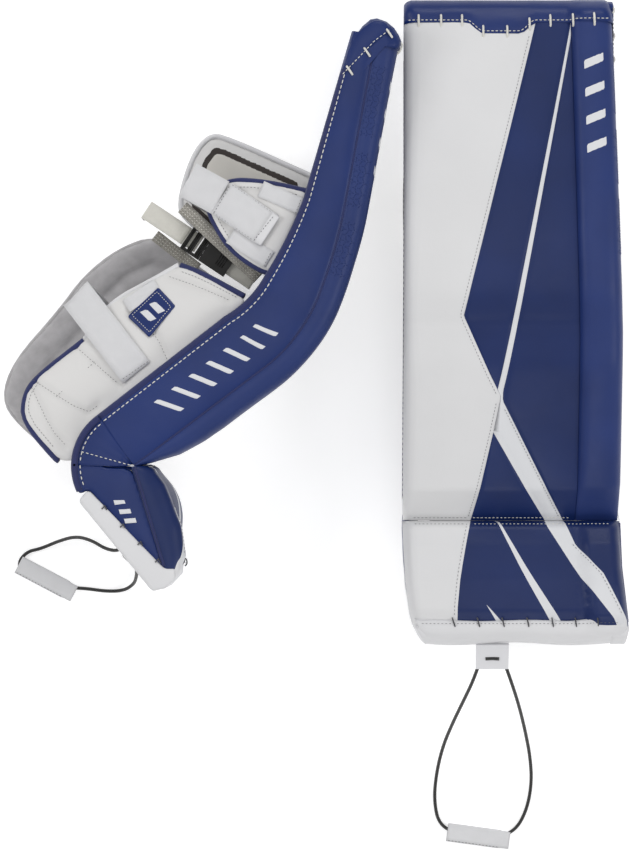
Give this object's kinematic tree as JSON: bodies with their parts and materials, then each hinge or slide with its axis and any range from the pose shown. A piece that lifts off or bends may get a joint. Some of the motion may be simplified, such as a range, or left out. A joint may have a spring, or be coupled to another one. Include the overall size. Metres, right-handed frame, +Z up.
{
  "type": "goalie leg pads",
  "caption": "Pair of ice hockey goalie leg pads with hinged knee, boot and calf wings, straps, buckles and toe ties.",
  "frame": {"origin": "on the floor under the middle of the two pads' overall box, cords not counted", "axes": "+Z up from the floor, +Y towards the pads' thigh ends, +X from the right-leg pad to the left-leg pad"},
  "size_m": [0.7846, 1.0939, 0.279],
  "materials": {
    "navy_panel": "glossy synthetic leather",
    "navy_roll": "satin synthetic leather",
    "white_face": "satin synthetic leather",
    "navy_binding": "woven binding",
    "white_binding": "satin synthetic leather",
    "foam": "closed-cell foam under a nylon backing",
    "board": "stiff sheet",
    "liner": "padded knit",
    "white_wing": "quilted synthetic leather",
    "grey_wing": "brushed knit",
    "stack_panel": "matt synthetic leather",
    "strap": "elastic webbing",
    "webbing": "nylon webbing",
    "buckle": "moulded acetal",
    "tie_cord": "braided elastic cord",
    "sleeve": "hook-and-loop tape",
    "tab": "synthetic leather"
  },
  "bodies": {
    "right_shin": {"right_shin_core": "foam", "right_shin_face": "white_face", "right_shin_roll": "navy_roll", "right_shin_sides": "navy_panel", "right_channel_liner": "liner", "right_ankle_gusset": "navy_panel"},
    "right_thigh": {"right_thigh_core": "foam", "right_thigh_board": "board", "right_thigh_face": "white_face", "right_thigh_roll": "navy_roll", "right_thigh_sides": "navy_panel", "right_top_cap": "navy_panel", "right_buckle_anchor": "webbing", "right_buckle_socket": "buckle"},
    "right_boot": {"right_boot_core": "foam", "right_boot_face": "white_face", "right_boot_roll": "navy_roll", "right_toe_binding": "white_binding", "right_toe_tab": "tab", "right_toe_cord": "tie_cord", "right_cord_sleeve": "sleeve"},
    "right_knee_stack": {"right_knee_stack": "stack_panel"},
    "right_knee_wing": {"right_knee_wing": "white_wing", "right_knee_strap": "strap"},
    "right_knee_strap_end": {"right_knee_strap_end": "strap"},
    "right_buckle_plug": {"right_buckle_plug": "buckle", "right_buckle_tail": "webbing"},
    "right_calf_wing": {"right_calf_wing": "white_wing"},
    "right_calf_strap": {"right_calf_strap": "strap"},
    "right_inner_calf_wing": {"right_inner_calf_wing": "grey_wing"},
    "left_shin": {"left_shin_core": "foam", "left_shin_face": "white_face", "left_shin_roll": "navy_roll", "left_shin_sides": "navy_panel", "left_channel_liner": "liner", "left_ankle_gusset": "navy_panel", "left_toe_cord": "tie_cord", "left_cord_sleeve": "sleeve"},
    "left_thigh": {"left_thigh_core": "foam", "left_thigh_board": "board", "left_thigh_face": "white_face", "left_thigh_roll": "navy_roll", "left_thigh_sides": "navy_panel", "left_top_cap": "navy_panel", "left_buckle_anchor": "webbing", "left_buckle_socket": "buckle"},
    "left_boot": {"left_boot_core": "foam", "left_boot_face": "white_face", "left_boot_roll": "navy_roll", "left_toe_binding": "white_binding", "left_toe_tab": "tab"},
    "left_knee_stack": {"left_knee_stack": "stack_panel"},
    "left_knee_wing": {"left_knee_wing": "white_wing", "left_knee_strap": "strap"},
    "left_knee_strap_end": {"left_knee_strap_end": "strap"},
    "left_buckle_plug": {"left_buckle_plug": "buckle", "left_buckle_tail": "webbing"},
    "left_calf_wing": {"left_calf_wing": "white_wing"},
    "left_calf_strap": {"left_calf_strap": "strap"},
    "left_inner_calf_wing": {"left_inner_calf_wing": "grey_wing"}
  },
  "joints": [
    {"name": "pads_apart", "type": "slide", "parent": "right_thigh", "child": "left_shin", "axis": [1, 0, 0], "range_m": [0, 0.25]},
    {"name": "right_knee_flex", "type": "hinge", "parent": "right_thigh", "child": "right_shin", "pos_m": [-0.0119, -0.01309, 0.1395], "axis": [0, 0, -1], "range_deg": [-17.5, 4.5]},
    {"name": "right_boot_flex", "type": "hinge", "parent": "right_shin", "child": "right_boot", "pos_m": [-0.22887, -0.16403, 0.1395], "axis": [0, 0, 1], "range_deg": [-44, 3], "deforming": ["right_ankle_gusset"]},
    {"name": "right_knee_stack_tilt", "type": "hinge", "parent": "right_thigh", "child": "right_knee_stack", "pos_m": [-0.03787, 0.14047, 0.033], "axis": [-0.5256, -0.8507, 0], "range_deg": [-1.5, 4]},
    {"name": "right_knee_wing_open", "type": "hinge", "parent": "right_thigh", "child": "right_knee_wing", "pos_m": [-0.03687, 0.12896, 0.25], "axis": [0.4125, 0.911, 0], "range_deg": [-1, 35]},
    {"name": "right_knee_strap_peel", "type": "hinge", "parent": "right_knee_wing", "child": "right_knee_strap_end", "pos_m": [-0.11939, 0.17336, 0.23789], "axis": [-0.492, -0.8704, -0.019], "range_deg": [0, 110]},
    {"name": "right_buckle_release", "type": "slide", "parent": "right_thigh", "child": "right_buckle_plug", "axis": [-0.8321, 0.5547, 0], "range_m": [0, 0.04]},
    {"name": "right_calf_wing_open", "type": "hinge", "parent": "right_shin", "child": "right_calf_wing", "pos_m": [-0.19937, -0.05303, 0.254], "axis": [0.7378, 0.675, 0], "range_deg": [-6, 34]},
    {"name": "right_calf_strap_peel", "type": "hinge", "parent": "right_calf_wing", "child": "right_calf_strap", "pos_m": [-0.22494, -0.04786, 0.2528], "axis": [0.8281, 0.5591, 0.042], "range_deg": [0, 35]},
    {"name": "right_inner_wing_open", "type": "hinge", "parent": "right_shin", "child": "right_inner_calf_wing", "pos_m": [-0.19937, -0.05303, 0.03], "axis": [-0.7378, -0.675, 0], "range_deg": [-6, 18]},
    {"name": "left_knee_flex", "type": "hinge", "parent": "left_shin", "child": "left_thigh", "pos_m": [0.25013, 0.00922, 0.21525], "axis": [-1, 0, 0], "range_deg": [-2.5, 19.5]},
    {"name": "left_boot_flex", "type": "hinge", "parent": "left_shin", "child": "left_boot", "pos_m": [0.25013, -0.23553, 0.1155], "axis": [-1, 0, 0], "range_deg": [-4, 43], "deforming": ["left_ankle_gusset", "left_toe_cord"]},
    {"name": "left_knee_stack_tilt", "type": "hinge", "parent": "left_thigh", "child": "left_knee_stack", "pos_m": [0.14363, 0.14724, 0.14311], "axis": [0, 0.9715, 0.237], "range_deg": [-1.5, 4]},
    {"name": "left_knee_wing_open", "type": "hinge", "parent": "left_thigh", "child": "left_knee_wing", "pos_m": [0.36063, 0.13661, 0.14761], "axis": [0, -0.9938, -0.1108], "range_deg": [-1, 35]},
    {"name": "left_knee_strap_peel", "type": "hinge", "parent": "left_knee_wing", "child": "left_knee_strap_end", "pos_m": [0.34852, 0.15334, 0.05541], "axis": [0.019, 0.9798, 0.199], "range_deg": [0, 110]},
    {"name": "left_buckle_release", "type": "slide", "parent": "left_thigh", "child": "left_buckle_plug", "axis": [0, 0.2704, -0.9627], "range_m": [0, 0.025]},
    {"name": "left_calf_wing_open", "type": "hinge", "parent": "left_shin", "child": "left_calf_wing", "pos_m": [0.36463, -0.12637, 0.07979], "axis": [0, -0.9679, -0.2512], "range_deg": [0, 35]},
    {"name": "left_calf_strap_peel", "type": "hinge", "parent": "left_calf_wing", "child": "left_calf_strap", "pos_m": [0.34549, -0.13751, 0.06148], "axis": [-0.1422, -0.9429, -0.3011], "range_deg": [0, 15]},
    {"name": "left_inner_wing_open", "type": "hinge", "parent": "left_shin", "child": "left_inner_calf_wing", "pos_m": [0.14063, -0.12637, 0.07979], "axis": [0, 0.9679, 0.2512], "range_deg": [-2, 0]}
  ]
}
